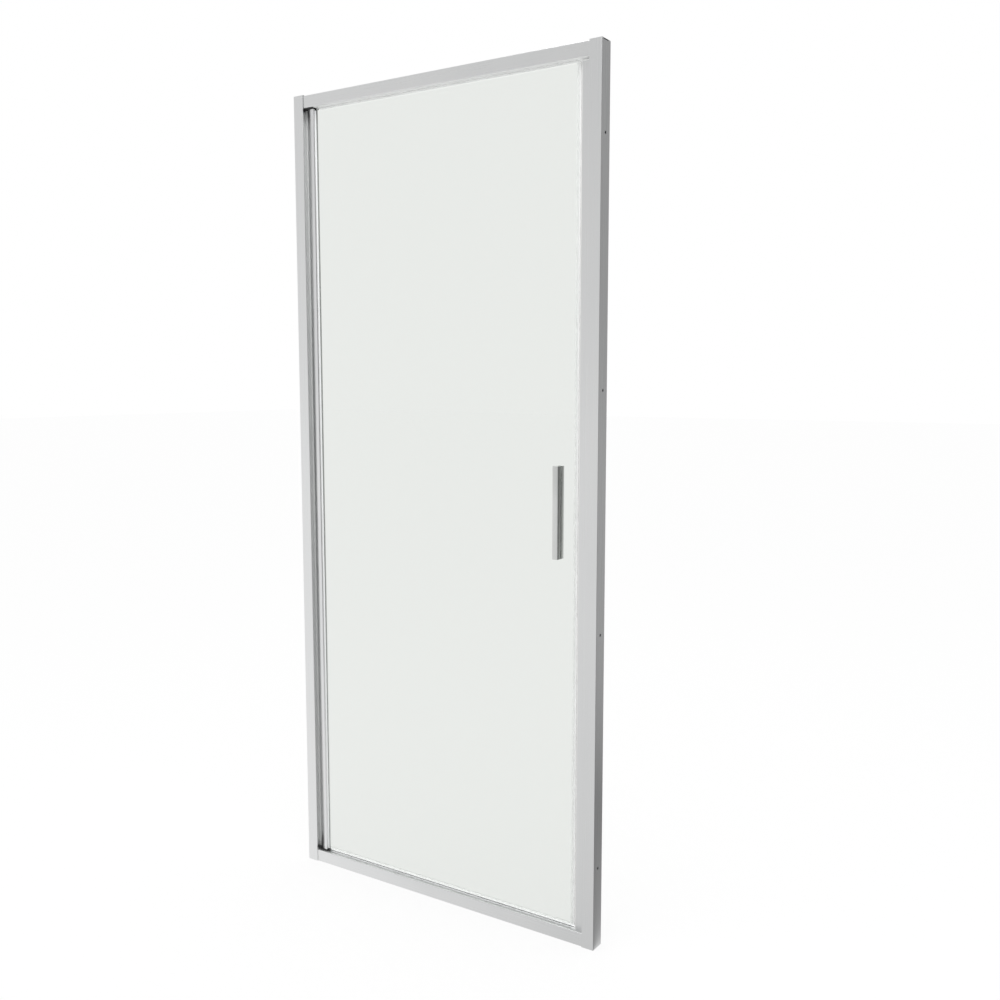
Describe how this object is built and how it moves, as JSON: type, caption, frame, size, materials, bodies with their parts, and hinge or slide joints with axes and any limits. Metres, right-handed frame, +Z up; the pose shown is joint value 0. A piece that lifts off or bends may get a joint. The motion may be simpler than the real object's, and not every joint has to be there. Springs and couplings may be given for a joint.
{
  "type": "pivot shower door",
  "caption": "Framed pivot shower door: a glass panel on a pivoting stile in a telescoping aluminium frame, with a through-bolted pull handle and seals.",
  "frame": {"origin": "at floor level, halfway between the two walls, in the middle plane of the closed glass", "axes": "+X along the door from the hinge side to the handle side, +Y from the outside to the shower, +Z up"},
  "size_m": [0.808, 0.0382, 1.85],
  "materials": {
    "polished_aluminium": "bright silver anodised extrusion, polished",
    "handle_chrome": "polished chrome plating",
    "stainless_steel": "plain stainless steel",
    "black_nylon": "moulded black nylon",
    "grey_plastic": "moulded silver-grey plastic",
    "white_acetal": "turned white acetal",
    "clear_glass": "clear toughened glass with polished edges",
    "glazing_rubber": "pale soft glazing channel",
    "clear_seal": "clear flexible plastic extrusion",
    "clear_pad": "clear soft plastic",
    "pale_seal": "pale grey flexible plastic extrusion",
    "magnet_strip": "plastic-bonded magnet strip with a pale skin"
  },
  "bodies": {
    "wall_left": {"left_wall_profile": "polished_aluminium", "left_top_cap": "black_nylon"},
    "frame": {"top_rail": "polished_aluminium", "bottom_sill": "polished_aluminium", "hinge_jamb": "polished_aluminium", "strike_jamb": "polished_aluminium", "strike_magnet_strip": "magnet_strip", "top_seal_strip": "pale_seal", "hinge_gap_seal": "pale_seal", "top_pivot_bearing": "black_nylon", "top_bush": "white_acetal", "top_thrust_washer": "white_acetal", "bottom_pivot_bearing": "black_nylon", "bottom_bush": "white_acetal", "bottom_thrust_washer": "white_acetal", "bearing_screws": "stainless_steel", "frame_corner_screws": "stainless_steel", "left_clamp_screws": "stainless_steel", "left_clamp_screw_caps": "grey_plastic", "right_clamp_screws": "stainless_steel", "right_clamp_screw_caps": "grey_plastic"},
    "door": {"hinge_stile": "polished_aluminium", "top_pivot_block": "black_nylon", "top_pivot_pin": "stainless_steel", "bottom_pivot_block": "black_nylon", "bottom_pivot_pin": "stainless_steel", "pivot_block_screws": "stainless_steel", "glass_panel": "clear_glass", "glazing_gasket": "glazing_rubber", "edge_seal": "clear_seal", "door_magnet_strip": "magnet_strip", "bottom_drip_seal": "clear_seal", "outer_handle": "handle_chrome", "inner_handle": "handle_chrome", "handle_pads": "clear_pad", "glass_hole_sleeves": "clear_pad", "handle_bolts": "stainless_steel", "handle_bolt_plugs": "handle_chrome"},
    "wall_right": {"right_wall_profile": "polished_aluminium", "right_top_cap": "black_nylon"}
  },
  "joints": [
    {"name": "frame_slide", "type": "slide", "parent": "wall_left", "child": "frame", "axis": [1, 0, 0], "range_m": [0, 0.007]},
    {"name": "right_profile_slide", "type": "slide", "parent": "frame", "child": "wall_right", "axis": [1, 0, 0], "range_m": [-0.007, 0.007]},
    {"name": "door_pivot", "type": "hinge", "parent": "frame", "child": "door", "pos_m": [-0.3665, 0, 0.925], "axis": [0, 0, -1], "range_deg": [0, 100]}
  ]
}
